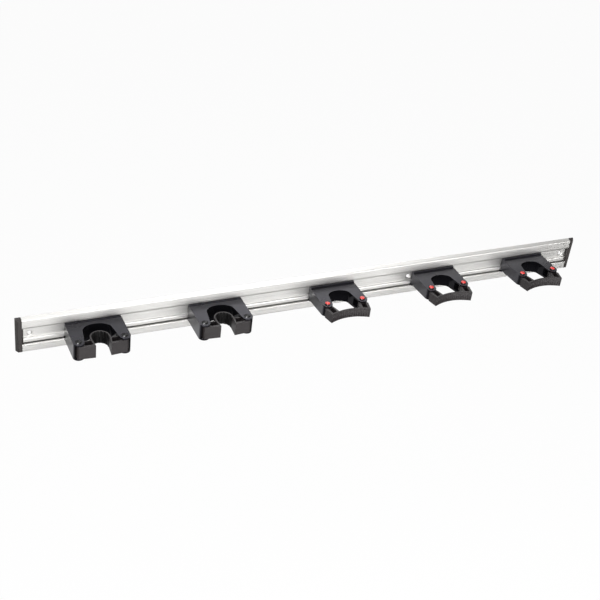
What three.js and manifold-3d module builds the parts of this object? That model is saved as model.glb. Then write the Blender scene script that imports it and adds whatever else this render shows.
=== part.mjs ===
// Wall rack for tool handles: an aluminium rail, two end caps and five push-in holders with rubber jaws.
// Millimetres, +Z up. The origin is the centre of the rail's back face. The wall is the plane y = 0, the rail
// runs along X and the holders reach out along -Y.

import * as THREE from 'three';
import { mergeVertices } from 'three/addons/utils/BufferGeometryUtils.js';
import Module from 'manifold-3d';

// Clearance between pieces that touch or slide on each other
const GAP = 0.3;

// Rail: an extrusion with an upper and a lower lip that half close a channel
const RAIL_LENGTH = 922.6;
const RAIL_HEIGHT = 55.3;
const RAIL_DEPTH = 7;
const TOP_FALL = 2.3;
const BACK_WALL = 2;
const LIP_WALL = 2.2;
const UPPER_LIP = 14.5;
const LOWER_LIP = 12.2;
const ROOF_WALL = 5.3;
const FLOOR_WALL = 3;
const EDGE_ROUND = 0.8;

// Ledge along the channel's back wall, above the lower lip
const LEDGE_RISE = 2;
const LEDGE_HEIGHT = 6.8;
const LEDGE_DEPTH = 2.2;
const LEDGE_ROUND = 1.8;

// Countersunk screw holes in the back wall
const HOLE_INSET = 11.3;
const MIDDLE_HOLE_SPACING = 310;
const HOLE_DIAMETER = 5.5;
const SINK_DIAMETER = 8.5;
const SINK_DEPTH = 1.5;

// End caps: a plate with a bevelled front and a plug in the channel
const CAP_PLATE = 8.4;
const CAP_BEVEL = 3;
const PLUG_REACH = 1.8;
const PLUG_SET_BACK = 0.6;

// Where the holders sit: evenly spaced from one inset to the other, each then slid aside by its own shift
const HOLDER_INSET = 99.3;
const HOLDER_SHIFT = [1.2, 4.9, 17, 16.4, 6.4];
const CLIP_HOLDERS = 2;

// Foot of every holder, which hooks behind both lips
const HOOK_UP = 4;
const HOOK_DOWN = 4;
const FOOT_SHORTER = 0.5;

// Moulded walls of every holder body
const PLATE = 2.4;
const SIDE_WALL = 2.2;
const REAR_WALL = 3;
const PARTITION = 2.2;
const TURN_ROOM = 3.6;

// Wide holder with an open clip
const CLIP_PIN_SPACING = 66;
const CLIP_PIN_REACH = 54;
const CLIP_ARM_RADIUS = 8.2;
const CLIP_ARCH_WIDTH = 42;
const CLIP_ARCH_DEPTH = 14;
const CLIP_ARCH_REACH = 16.3;
const CLIP_TOP_DROP = 1.2;
const CLIP_REAR_DROP = 1.4;
const CLIP_FRONT_DROP = 1;

// Rubber of the open clip
const RING_BORE = 24.4;
const RING_WALL = 2.3;
const RING_BEHIND_PIN = 9.8;
const MOUTH_WIDTH = 22;
const CLIP_FRONT_PAST_PIN = 10.5;
const CLIP_FRONT_WALL = 4.2;
const CLIP_FRONT_SWEEP = 1.6;
const CLIP_CORNER_ROUND = 4;
const CLIP_CHEEK_INSET = 1.6;
const CLIP_WEB = 1.7;
const CLIP_WEB_ANGLE = 128;
const LUG_CHEEK = 2;

// Narrow holder with a closed front
const BAND_PIN_SPACING = 58.5;
const BAND_PIN_REACH = 53;
const BAND_ARM_RADIUS = 8;
const BAND_ARCH_WIDTH = 36;
const BAND_ARCH_DEPTH = 12;
const BAND_ARCH_REACH = 22.3;
const BAND_TOP_DROP = 2.9;
const BAND_REAR_LIFT = 2.4;
const BAND_FRONT_LIFT = 5.8;

// Rubber of the closed front
const FRONT_WIDTH = 64;
const FRONT_PAST_PIN = 25.6;
const FRONT_HOLLOW = 7.4;
const BAND_WALL = 2;
const BAND_SPAN = 36;
const BLOCK_WALL = 2.8;
const BLOCK_BACK_WIDTH = 71.4;
const BLOCK_DROP = 2.2;
const BLOCK_LUG_ANGLE = 165;
const ARM_CLEARANCE = 1;

// Pins
const PIN_DIAMETER = 6;
const PIN_SET_IN = 0.4;
const RIM_WIDTH = 1.5;
const RIM_HEIGHT = 0.7;
const SEAT_DEPTH = 1.2;
const CLIP_HEAD_DIAMETER = 9.4;
const CLIP_HEAD_HEIGHT = 1;
const LOBE_COUNT = 3;
const LOBE_DIAMETER = 3.2;
const LOBE_CIRCLE = 4.8;
const LOBE_HEIGHT = 1;
const BAND_HEAD_DIAMETER = 8.4;
const BAND_HEAD_HEIGHT = 2.6;
const BAND_CAP_HEIGHT = 1.3;
const PRONG_COUNT = 6;
const PRONG_SHARE = 0.5;
const PRONG_CORE = 5;

// Roundness of curves: steps in an arm's end, in an arch and in a round pin or hole
const ARC_STEPS = 10;
const ARCH_STEPS = 20;
const ROUND_STEPS = 16;

const ALUMINIUM = { color: 0xc9cacb, roughness: 0.42, metalness: 1 };
const BLACK_PLASTIC = { color: 0x2b2b2e, roughness: 0.35, metalness: 0 };
const BLACK_RUBBER = { color: 0x343233, roughness: 0.75, metalness: 0 };
const RED_PLASTIC = { color: 0xd8322c, roughness: 0.35, metalness: 0 };

const wasm = await Module();
wasm.setup();

// Heights that the rail sets for everything that sits in its channel
const RAIL_BOTTOM = -RAIL_HEIGHT / 2;
const RAIL_TOP = RAIL_HEIGHT / 2;
const LOWER_LIP_TOP = RAIL_BOTTOM + LOWER_LIP;
const UPPER_LIP_EDGE = RAIL_TOP - TOP_FALL - UPPER_LIP;
const LEDGE_BOTTOM = LOWER_LIP_TOP + LEDGE_RISE;
const LEDGE_TOP = LEDGE_BOTTOM + LEDGE_HEIGHT;
const LEDGE_FACE = BACK_WALL + LEDGE_DEPTH;
const LIP_BACK = RAIL_DEPTH - LIP_WALL;

// Points of an arc of an ellipse, from one angle to another in radians
function arc(x, y, radiusX, radiusY, from, to, steps = ARC_STEPS) {
  const points = [];
  for (let i = 0; i <= steps; i += 1) {
    const angle = from + (to - from) * i / steps;
    points.push([x + radiusX * Math.cos(angle), y + radiusY * Math.sin(angle)]);
  }
  return points;
}

function shapeOf(points, holes = []) {
  const shape = new THREE.Shape(points.map(([x, y]) => new THREE.Vector2(x, y)));
  for (const hole of holes) {
    shape.holes.push(new THREE.Path(hole.map(([x, y]) => new THREE.Vector2(x, y))));
  }
  return shape;
}

function solidFrom(geometry) {
  geometry.deleteAttribute('normal');
  geometry.deleteAttribute('uv');
  const merged = mergeVertices(geometry, 1e-4);
  const vertProperties = new Float32Array(merged.attributes.position.array);
  const triVerts = new Uint32Array(merged.index.array);
  return new wasm.Manifold(new wasm.Mesh({ numProp: 3, vertProperties, triVerts }));
}

function geometryFrom(solid) {
  const mesh = solid.getMesh();
  const geometry = new THREE.BufferGeometry();
  geometry.setAttribute('position', new THREE.BufferAttribute(new Float32Array(mesh.vertProperties), 3));
  geometry.setIndex(new THREE.BufferAttribute(new Uint32Array(mesh.triVerts), 1));
  geometry.computeVertexNormals();
  return geometry;
}

// A plan outline raised from one height to another
function raised(points, low, high, holes = []) {
  const geometry = new THREE.ExtrudeGeometry(shapeOf(points, holes), {
    depth: high - low,
    bevelEnabled: false,
  });
  return solidFrom(geometry.translate(0, 0, low));
}

// A section drawn as [y, z] points and run along X
function run(points, from, to) {
  const geometry = new THREE.ExtrudeGeometry(shapeOf(points), {
    depth: to - from,
    bevelEnabled: false,
  });
  const sectionToRow = new THREE.Matrix4().makeBasis(
    new THREE.Vector3(0, 1, 0),
    new THREE.Vector3(0, 0, 1),
    new THREE.Vector3(1, 0, 0),
  );
  return solidFrom(geometry.applyMatrix4(sectionToRow).translate(from, 0, 0));
}

// The same, between two distances from the middle, on the right (1) or left (-1)
function runOut(points, near, far, side) {
  return side > 0 ? run(points, near, far) : run(points, -far, -near);
}

function upright(x, y, radius, low, high, steps = ROUND_STEPS) {
  return raised(arc(x, y, radius, radius, 0, 2 * Math.PI, steps).slice(0, -1), low, high);
}

// Points on the right (1) or, turned over, on the left (-1)
function mirrored(points, side) {
  return points.map(([x, y]) => [side * x, y]);
}

function rectangle(left, right, back, front) {
  return [[left, back], [right, back], [right, front], [left, front]];
}

function piece(name, solid, finish) {
  const mesh = new THREE.Mesh(geometryFrom(solid), new THREE.MeshStandardMaterial(finish));
  mesh.name = name;
  return mesh;
}

// Section of the rail, seen from its left end
function railSection() {
  const round = Math.min(EDGE_ROUND, LIP_WALL / 2);
  const ledge = Math.min(LEDGE_ROUND, LEDGE_DEPTH, LEDGE_HEIGHT);
  return [
    [0, RAIL_BOTTOM],
    ...arc(-RAIL_DEPTH + round, RAIL_BOTTOM + round, round, round, 1.5 * Math.PI, Math.PI, 3),
    ...arc(-RAIL_DEPTH + round, LOWER_LIP_TOP - round, round, round, Math.PI, 0.5 * Math.PI, 3),
    [-LIP_BACK, LOWER_LIP_TOP],
    [-LIP_BACK, RAIL_BOTTOM + FLOOR_WALL],
    [-BACK_WALL, RAIL_BOTTOM + FLOOR_WALL],
    [-BACK_WALL, LEDGE_BOTTOM],
    [-LEDGE_FACE, LEDGE_BOTTOM],
    ...arc(-LEDGE_FACE + ledge, LEDGE_TOP - ledge, ledge, ledge, Math.PI, 0.5 * Math.PI, 5),
    [-BACK_WALL, LEDGE_TOP],
    [-BACK_WALL, RAIL_TOP - ROOF_WALL],
    [-LIP_BACK, RAIL_TOP - ROOF_WALL],
    [-LIP_BACK, UPPER_LIP_EDGE],
    ...arc(-RAIL_DEPTH + round, UPPER_LIP_EDGE + round, round, round, 1.5 * Math.PI, Math.PI, 3),
    [-RAIL_DEPTH, RAIL_TOP - TOP_FALL],
    [0, RAIL_TOP],
  ];
}

function railPiece() {
  let solid = run(railSection(), -RAIL_LENGTH / 2, RAIL_LENGTH / 2);
  const outerHole = RAIL_LENGTH / 2 - HOLE_INSET;
  const middleHole = MIDDLE_HOLE_SPACING / 2;
  const overrun = 1;
  for (const x of [-outerHole, -middleHole, middleHole, outerHole]) {
    const profile = [
      [0, -overrun],
      [HOLE_DIAMETER / 2, -overrun],
      [HOLE_DIAMETER / 2, BACK_WALL - SINK_DEPTH],
      [SINK_DIAMETER / 2, BACK_WALL],
      [SINK_DIAMETER / 2, BACK_WALL + overrun],
      [0, BACK_WALL + overrun],
    ];
    const drill = new THREE.LatheGeometry(profile.map(([r, h]) => new THREE.Vector2(r, h)), ROUND_STEPS);
    drill.rotateX(Math.PI).translate(x, 0, 0);
    solid = solid.subtract(solidFrom(drill));
  }
  return piece('rail', solid, ALUMINIUM);
}

// side is -1 for the left cap and 1 for the right one
function endCap(side) {
  const inner = RAIL_LENGTH / 2 + GAP;
  const outer = inner + CAP_PLATE;
  const bevel = Math.min(CAP_BEVEL, CAP_PLATE / 2);
  const outline = [
    [0, RAIL_BOTTOM],
    [-RAIL_DEPTH, RAIL_BOTTOM],
    [-RAIL_DEPTH, RAIL_TOP - TOP_FALL],
    [0, RAIL_TOP],
  ];
  const plan = [
    [inner, BACK_WALL],
    [outer, BACK_WALL],
    [outer, -BACK_WALL],
    [outer - bevel, -RAIL_DEPTH],
    [inner, -RAIL_DEPTH],
  ];
  const plug = [
    [-RAIL_DEPTH + PLUG_SET_BACK, LOWER_LIP_TOP + GAP],
    [-RAIL_DEPTH + PLUG_SET_BACK, UPPER_LIP_EDGE - GAP],
    [-LEDGE_FACE - GAP, UPPER_LIP_EDGE - GAP],
    [-LEDGE_FACE - GAP, LOWER_LIP_TOP + GAP],
  ];
  const plate = runOut(outline, inner, outer, side).intersect(
    raised(mirrored(plan, side), RAIL_BOTTOM - GAP, RAIL_TOP + GAP),
  );
  const solid = plate.add(runOut(plug, RAIL_LENGTH / 2 - PLUG_REACH, inner + bevel, side));
  return piece(side < 0 ? 'end_cap_left' : 'end_cap_right', solid, BLACK_PLASTIC);
}

// Foot section as [y, z]: a neck between the lips, a hook up behind the upper lip and one down behind the lower
function footSection(bodyBack) {
  const hookFront = -LIP_BACK + GAP;
  const hookBack = -BACK_WALL - GAP;
  const neckBack = -LEDGE_FACE - GAP;
  return [
    [bodyBack - REAR_WALL / 2, LOWER_LIP_TOP + GAP],
    [bodyBack - REAR_WALL / 2, UPPER_LIP_EDGE - GAP],
    [hookFront, UPPER_LIP_EDGE - GAP],
    [hookFront, UPPER_LIP_EDGE + HOOK_UP],
    [hookBack, UPPER_LIP_EDGE + HOOK_UP],
    [hookBack, LEDGE_TOP + GAP],
    [neckBack, LEDGE_TOP + GAP],
    [neckBack, LEDGE_BOTTOM - GAP],
    [hookBack, LEDGE_BOTTOM - GAP],
    [hookBack, LOWER_LIP_TOP - HOOK_DOWN],
    [hookFront, LOWER_LIP_TOP - HOOK_DOWN],
    [hookFront, LOWER_LIP_TOP + GAP],
  ];
}

// Heights and widths of a holder that follow from its driving sizes
function holderKind(sizes) {
  const pinX = sizes.pinSpacing / 2;
  const top = UPPER_LIP_EDGE - sizes.topDrop;
  const bottomFront = LOWER_LIP_TOP + sizes.frontLift;
  return {
    ...sizes,
    pinX,
    pinY: -sizes.pinReach,
    halfWidth: pinX + sizes.armRadius,
    top,
    bottomBack: LOWER_LIP_TOP + sizes.rearLift,
    bottomFront,
    slotLow: bottomFront + PLATE,
    slotHigh: top - PLATE,
    lugRadius: sizes.armRadius - SIDE_WALL - GAP,
    archY: -sizes.archReach - sizes.archDepth,
    bodyBack: -RAIL_DEPTH - GAP,
  };
}

const CLIP = holderKind({
  pinSpacing: CLIP_PIN_SPACING,
  pinReach: CLIP_PIN_REACH,
  armRadius: CLIP_ARM_RADIUS,
  archWidth: CLIP_ARCH_WIDTH,
  archDepth: CLIP_ARCH_DEPTH,
  archReach: CLIP_ARCH_REACH,
  topDrop: CLIP_TOP_DROP,
  rearLift: -CLIP_REAR_DROP,
  frontLift: -CLIP_FRONT_DROP,
});

const BAND = holderKind({
  pinSpacing: BAND_PIN_SPACING,
  pinReach: BAND_PIN_REACH,
  armRadius: BAND_ARM_RADIUS,
  archWidth: BAND_ARCH_WIDTH,
  archDepth: BAND_ARCH_DEPTH,
  archReach: BAND_ARCH_REACH,
  topDrop: BAND_TOP_DROP,
  rearLift: BAND_REAR_LIFT,
  frontLift: BAND_FRONT_LIFT,
});

// The handle space of a body in plan, widened all round by a wall: an arch at the back and legs to the arms
function handleSpace(kind, wall, frontY) {
  const legEnd = kind.pinX - kind.armRadius + wall;
  return [
    [legEnd, frontY],
    [legEnd, kind.pinY],
    ...arc(0, kind.archY, kind.archWidth / 2 + wall, kind.archDepth + wall, 0, Math.PI, ARCH_STEPS),
    [-legEnd, kind.pinY],
    [-legEnd, frontY],
  ];
}

// A body without its pin seats: a plate on walls round the handle space, with a foot and two forked arms
function holderBody(kind) {
  const { halfWidth, pinX, pinY, armRadius, bodyBack, top, bottomBack, bottomFront } = kind;
  const below = Math.min(bottomBack, bottomFront) - PLATE;
  const armFront = pinY - armRadius;
  const outline = [
    [-halfWidth, bodyBack],
    [halfWidth, bodyBack],
    ...arc(pinX, pinY, armRadius, armRadius, 0, -Math.PI),
    ...arc(0, kind.archY, kind.archWidth / 2, kind.archDepth, 0, Math.PI, ARCH_STEPS),
    ...arc(-pinX, pinY, armRadius, armRadius, 0, -Math.PI),
  ];
  let solid = raised(outline, below, top);

  // The underside runs straight from the rail to the arms' front ends
  const slope = (bottomFront - bottomBack) / (bodyBack - armFront);
  const underside = [
    [bodyBack + PLATE, below - PLATE],
    [bodyBack + PLATE, bottomBack - slope * PLATE],
    [armFront - PLATE, bottomFront + slope * PLATE],
    [armFront - PLATE, below - PLATE],
  ];
  solid = solid.subtract(run(underside, -halfWidth - PLATE, halfWidth + PLATE));

  // A hollow under the top plate, round the handle space
  const slotBack = pinY + kind.lugRadius + TURN_ROOM;
  const hollowPlan = rectangle(
    -halfWidth + SIDE_WALL, halfWidth - SIDE_WALL, bodyBack - REAR_WALL, slotBack + PARTITION,
  );
  const spaceWall = raised(handleSpace(kind, SIDE_WALL, armFront), below - PLATE, top);
  solid = solid.subtract(raised(hollowPlan, below - PLATE, top - PLATE).subtract(spaceWall));

  // The foot, then a fork in each arm for the rubber lug
  solid = solid.add(run(footSection(bodyBack), -halfWidth + FOOT_SHORTER, halfWidth - FOOT_SHORTER));
  for (const side of [-1, 1]) {
    const slot = rectangle(pinX - 2 * armRadius, halfWidth - SIDE_WALL, slotBack, armFront - PLATE);
    solid = solid.subtract(raised(mirrored(slot, side), kind.slotLow, kind.slotHigh));
    solid = solid.subtract(upright(side * pinX, pinY, PIN_DIAMETER / 2 + GAP, below, top + PLATE));
  }
  return solid;
}

// The wide body has a raised rim and a sunk seat round each pin
function clipBody() {
  const { pinX, pinY, top } = CLIP;
  const seat = CLIP_HEAD_DIAMETER / 2 + GAP;
  let solid = holderBody(CLIP);
  for (const side of [-1, 1]) {
    const rim = upright(side * pinX, pinY, seat + RIM_WIDTH, top - PLATE / 2, top + RIM_HEIGHT);
    const bore = upright(side * pinX, pinY, PIN_DIAMETER / 2 + GAP, top - PLATE, top + RIM_HEIGHT);
    solid = solid.add(rim.subtract(bore));
    solid = solid.subtract(upright(side * pinX, pinY, seat, top - SEAT_DEPTH, top + 2 * RIM_HEIGHT));
  }
  return solid;
}

function clipPin(side) {
  const { pinX, pinY, top, bottomFront } = CLIP;
  const x = side * pinX;
  const headLow = top - SEAT_DEPTH + GAP;
  const headHigh = headLow + CLIP_HEAD_HEIGHT;
  let solid = upright(x, pinY, PIN_DIAMETER / 2, bottomFront + PIN_SET_IN, headHigh);
  solid = solid.add(upright(x, pinY, CLIP_HEAD_DIAMETER / 2, headLow, headHigh));
  for (let i = 0; i < LOBE_COUNT; i += 1) {
    const angle = Math.PI / 2 + 2 * Math.PI * i / LOBE_COUNT;
    const lobeX = x + LOBE_CIRCLE / 2 * Math.cos(angle);
    const lobeY = pinY + LOBE_CIRCLE / 2 * Math.sin(angle);
    const lobe = upright(lobeX, lobeY, LOBE_DIAMETER / 2, headLow, headHigh + LOBE_HEIGHT, ARC_STEPS);
    solid = solid.add(lobe);
  }
  return solid;
}

// Where the clip's thin web leaves the lug, how far the cheek's inner wall runs back, and its front face
function clipLines() {
  const webBack = CLIP.pinY + CLIP.lugRadius * Math.sin(THREE.MathUtils.degToRad(CLIP_WEB_ANGLE));
  return {
    webBack,
    webFront: webBack - CLIP_WEB,
    wallBack: webBack + CLIP_WEB,
    front: CLIP.pinY - CLIP_FRONT_PAST_PIN,
  };
}

// One cheek of the open clip: a lug on the pin, a front block, a web and the handle wall, round a pocket
function clipJaw(side) {
  const { pinX, pinY, lugRadius, slotLow, slotHigh } = CLIP;
  const { webBack, webFront, wallBack, front } = clipLines();
  const outer = pinX + lugRadius;
  const corner = Math.min(CLIP_CORNER_ROUND, lugRadius - CLIP_CHEEK_INSET);
  const cornerY = front + CLIP_FRONT_SWEEP + corner;
  const handleWall = RING_BORE / 2 + RING_WALL;
  const outline = [
    [MOUTH_WIDTH / 2, front],
    ...arc(outer - CLIP_CHEEK_INSET - corner, cornerY, corner, corner, -Math.PI / 2, 0, ARC_STEPS / 2),
    ...arc(pinX, pinY, lugRadius, lugRadius, 0, THREE.MathUtils.degToRad(CLIP_WEB_ANGLE)),
    [handleWall, webBack],
    [handleWall, wallBack],
    [RING_BORE / 2, wallBack],
  ];
  const pocketFront = front + CLIP_FRONT_WALL;
  const pocketSide = pinX - lugRadius - LUG_CHEEK;
  const pocket = [
    [handleWall, webFront],
    [pocketSide, webFront],
    [pocketSide, pocketFront],
    [MOUTH_WIDTH / 2 + RING_WALL, pocketFront],
  ];
  const low = slotLow + GAP;
  const high = slotHigh - GAP;
  const solid = raised(mirrored(outline, side), low, high, [mirrored(pocket, side)]);
  return solid.subtract(upright(side * pinX, pinY, PIN_DIAMETER / 2 + GAP, low - PLATE, high + PLATE));
}

// The arch behind the handle, which ends just short of both cheeks
function clipArch() {
  const centre = CLIP.pinY + RING_BEHIND_PIN;
  const end = clipLines().wallBack + GAP;
  const bore = RING_BORE / 2;
  const outside = bore + RING_WALL;
  const outline = [
    [outside, end],
    ...arc(0, centre, outside, outside, 0, Math.PI, ARCH_STEPS),
    [-outside, end],
    [-bore, end],
    ...arc(0, centre, bore, bore, Math.PI, 0, ARCH_STEPS),
    [bore, end],
  ];
  return raised(outline, CLIP.slotLow + GAP, CLIP.slotHigh - GAP);
}

// Distance from the wall plane of the closed front's hollow face at a place across it, as a y value
function hollowFront(x) {
  const half = FRONT_WIDTH / 2;
  const radius = (half * half + FRONT_HOLLOW * FRONT_HOLLOW) / (2 * FRONT_HOLLOW);
  const middle = BAND.pinY - FRONT_PAST_PIN + FRONT_HOLLOW;
  return middle - radius + Math.sqrt(radius * radius - x * x);
}

// Points along the hollow face, moved back by a depth
function hollowPoints(from, to, back, steps) {
  const points = [];
  for (let i = 0; i <= steps; i += 1) {
    const x = from + (to - from) * i / steps;
    points.push([x, hollowFront(x) + back]);
  }
  return points;
}

const BLOCK_HIGH = BAND.top - BLOCK_DROP;
const BLOCK_LOW = BAND.bottomFront;

// One corner block of the closed front: a lug on the pin and a hollow block in front of the arm's end
function bandJaw(side) {
  const { pinX, pinY, lugRadius, armRadius, slotLow, slotHigh } = BAND;
  const root = BAND_SPAN / 2;
  const blockBack = pinY - armRadius + ARM_CLEARANCE;
  const lugEnd = THREE.MathUtils.degToRad(BLOCK_LUG_ANGLE);
  const outline = [
    ...hollowPoints(root, FRONT_WIDTH / 2, 0, 4),
    [BLOCK_BACK_WIDTH / 2, blockBack],
    [pinX + lugRadius, blockBack],
    ...arc(pinX, pinY, lugRadius, lugRadius, 0, lugEnd),
    [root, hollowFront(root) + BAND_WALL],
  ];
  const pocketBack = pinY - lugRadius - BLOCK_WALL;
  const pocket = [
    ...hollowPoints(root + 1.5 * BLOCK_WALL, FRONT_WIDTH / 2 - BLOCK_WALL, BLOCK_WALL, 3),
    [BLOCK_BACK_WIDTH / 2 - 1.5 * BLOCK_WALL, pocketBack],
    [root + 2 * BLOCK_WALL, pocketBack],
  ];
  const armRound = upright(side * pinX, pinY, armRadius + ARM_CLEARANCE, BLOCK_LOW - PLATE, BLOCK_HIGH + PLATE);
  const block = raised(mirrored(outline, side), BLOCK_LOW, BLOCK_HIGH).subtract(armRound);
  const lug = raised(mirrored(outline, side), slotLow + GAP, slotHigh - GAP);
  const bore = upright(side * pinX, pinY, PIN_DIAMETER / 2 + GAP, BLOCK_LOW - PLATE, BLOCK_HIGH + PLATE);
  const well = raised(mirrored(pocket, side), BLOCK_LOW - PLATE, BLOCK_HIGH + PLATE);
  return block.add(lug).subtract(well).subtract(bore);
}

// The thin band between the two blocks
function frontBand() {
  const root = BAND_SPAN / 2 - GAP;
  const outline = [
    ...hollowPoints(-root, root, 0, ARC_STEPS),
    ...hollowPoints(root, -root, BAND_WALL, ARC_STEPS),
  ];
  return raised(outline, BLOCK_LOW, BLOCK_HIGH);
}

// A snap pin with a cap that stands on prongs
function bandPin(side) {
  const { pinX, pinY, top, bottomFront } = BAND;
  const x = side * pinX;
  const headLow = top + GAP;
  const headHigh = headLow + BAND_HEAD_HEIGHT;
  const capLow = headHigh - BAND_CAP_HEIGHT;
  const head = BAND_HEAD_DIAMETER / 2;
  const step = 2 * Math.PI / PRONG_COUNT;
  const prongs = [];
  for (let i = 0; i < PRONG_COUNT; i += 1) {
    const from = step * (i - PRONG_SHARE / 2);
    const to = step * (i + PRONG_SHARE / 2);
    prongs.push(...arc(x, pinY, head, head, from, to, 2));
    prongs.push(...arc(x, pinY, PRONG_CORE / 2, PRONG_CORE / 2, to, from + step, 1));
  }
  const shaft = upright(x, pinY, PIN_DIAMETER / 2, bottomFront + PIN_SET_IN, headLow + PIN_SET_IN);
  const cap = upright(x, pinY, head, capLow, headHigh);
  return shaft.add(raised(prongs, headLow, headHigh - PIN_SET_IN)).add(cap);
}

function holder(number, x) {
  const group = new THREE.Group();
  const isClip = number <= CLIP_HOLDERS;
  const name = `holder_${number}`;
  const sides = [['left', -1], ['right', 1]];
  group.add(piece(`${name}_body`, isClip ? clipBody() : holderBody(BAND), BLACK_PLASTIC));
  for (const [word, side] of sides) {
    const jaw = isClip ? clipJaw(side) : bandJaw(side);
    const pin = isClip ? clipPin(side) : bandPin(side);
    group.add(piece(`${name}_jaw_${word}`, jaw, BLACK_RUBBER));
    group.add(piece(`${name}_pin_${word}`, pin, isClip ? BLACK_PLASTIC : RED_PLASTIC));
  }
  const bend = isClip ? clipArch() : frontBand();
  group.add(piece(`${name}_${isClip ? 'grip_arch' : 'front_band'}`, bend, BLACK_RUBBER));
  group.position.x = x;
  return group;
}

function rack() {
  const group = new THREE.Group();
  group.add(railPiece(), endCap(-1), endCap(1));
  const span = RAIL_LENGTH - 2 * HOLDER_INSET;
  const pitch = span / (HOLDER_SHIFT.length - 1);
  HOLDER_SHIFT.forEach((shift, i) => {
    group.add(holder(i + 1, -span / 2 + i * pitch + shift));
  });
  return group;
}

export default rack();
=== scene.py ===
# %% [markdown]
# A wall rack for tool handles
#
# The real object is an aluminium rail with black end caps and a row of moulded holders that slide along it.
# The imported frame gives every piece its place. This lesson dresses that frame: each plain solid gets a
# finer mesh with rounded edges, and a finish worked out from the real material. The frame is loaded first,
# and its box is kept.

# %% Load the frame
import math

import bmesh
import bpy
from mathutils import Matrix, Vector


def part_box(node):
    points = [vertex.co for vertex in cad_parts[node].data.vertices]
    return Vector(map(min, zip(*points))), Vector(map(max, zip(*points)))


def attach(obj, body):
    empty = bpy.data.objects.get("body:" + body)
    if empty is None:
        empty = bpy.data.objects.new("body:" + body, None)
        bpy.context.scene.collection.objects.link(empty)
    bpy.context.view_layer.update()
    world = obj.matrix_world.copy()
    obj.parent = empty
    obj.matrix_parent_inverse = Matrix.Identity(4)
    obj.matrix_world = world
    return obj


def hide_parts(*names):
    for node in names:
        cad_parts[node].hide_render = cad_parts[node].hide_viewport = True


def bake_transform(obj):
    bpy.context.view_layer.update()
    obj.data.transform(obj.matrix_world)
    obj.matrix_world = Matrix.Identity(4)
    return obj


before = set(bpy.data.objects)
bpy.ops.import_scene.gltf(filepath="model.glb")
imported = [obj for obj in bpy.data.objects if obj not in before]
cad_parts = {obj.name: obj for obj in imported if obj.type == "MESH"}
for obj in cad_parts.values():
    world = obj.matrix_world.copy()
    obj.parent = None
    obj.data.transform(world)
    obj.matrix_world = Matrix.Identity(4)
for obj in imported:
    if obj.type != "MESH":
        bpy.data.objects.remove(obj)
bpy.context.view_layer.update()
MM = 0.001

# %% [markdown]
# The camera
#
# The photograph looks down on the rack from the front left with a moderate lens. The camera's place and
# turn were found by fitting a pinhole camera to the rail's corners and screw holes. They are written as its
# right, down and forward directions, because three directions and a place are all that a camera object
# needs.

# %% Camera
CAMERA_PLACE = Vector((-727.19, -1324.72, 968.39)) * MM
CAMERA_RIGHT = Vector((0.911, -0.39813, 0.1076))
CAMERA_DOWN = Vector((-0.13927, -0.54256, -0.82839))
CAMERA_FORWARD = Vector((0.38819, 0.73968, -0.54971))
FOCAL_PIXELS = 1157.46
PHOTO_PIXELS = 600
SENSOR_WIDTH = 36.0
FAR_LIMIT = 20

camera_data = bpy.data.cameras.new("photo_camera")
camera_data.sensor_width = SENSOR_WIDTH
camera_data.lens = SENSOR_WIDTH * FOCAL_PIXELS / PHOTO_PIXELS
camera_data.clip_end = FAR_LIMIT
camera = bpy.data.objects.new("photo_camera", camera_data)
turn = Matrix((CAMERA_RIGHT, -CAMERA_DOWN, -CAMERA_FORWARD)).transposed()
camera.matrix_world = Matrix.Translation(CAMERA_PLACE) @ turn.to_4x4()
bpy.context.collection.objects.link(camera)
bpy.context.scene.camera = camera
print("camera lens", round(camera_data.lens, 1), "mm")

# %% [markdown]
# Small tools for materials
#
# Every finish below is a node tree. One function turns a hex colour as seen on a screen into the linear
# values that a shader works with, and one function adds a node, sets it up and links it. Nothing else is
# needed, and the trees stay easy to read from top to bottom. An input is given by its name, or by its
# number after an underscore where a node has several of one name: a Mix node's factor is 0, its numbers
# are 2 and 3, and its colours are 6 and 7.


# %% Colour and node helpers
def linear(hex_code):
    channels = [int(hex_code[i:i + 2], 16) / 255 for i in (1, 3, 5)]
    values = [c / 12.92 if c <= 0.04045 else ((c + 0.055) / 1.055) ** 2.4 for c in channels]
    return (*values, 1.0)


def add(tree, kind, settings=None, **inputs):
    node = tree.nodes.new(kind)
    for key, value in (settings or {}).items():
        setattr(node, key, value)
    for key, value in inputs.items():
        socket = node.inputs[int(key[1:])] if key[0] == "_" else node.inputs[key.replace("_", " ")]
        if isinstance(value, bpy.types.NodeSocket):
            tree.links.new(value, socket)
        else:
            socket.default_value = value
    return node


def new_material(name):
    material = bpy.data.materials.new(name)
    material.use_nodes = True
    tree = material.node_tree
    return material, tree, tree.nodes["Principled BSDF"]


print("helpers ready, mid grey is", [round(v, 3) for v in linear("#808080")[:3]])

# %% [markdown]
# Satin anodised aluminium
#
# The rail is an extruded profile that was blasted or etched matt and then anodised clear. Three things
# show: a bright grey metal that blurs what it mirrors, very fine lines along the rail left by the die, and
# a speckle of about half a millimetre from the etching. The die lines are really hundredths of a
# millimetre wide, so they are drawn a little over half a millimetre wide here to show at all.


# %% Aluminium
SPECKLE_SIZE = 0.6
SPECKLE_SHARE = 0.35
DIE_LINE_WIDTH = 0.7
DIE_LINE_LENGTH = 300
CLOUD_SIZE = 60
METAL_DARK = "#BDBCBA"
METAL_LIGHT = "#F0EFEC"
TINT_LOW = -0.2
TINT_HIGH = 1.2
METAL_ROUGHNESS = (0.4, 0.5)
METAL_BUMP = 0.3
METAL_RELIEF = 0.12


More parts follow.
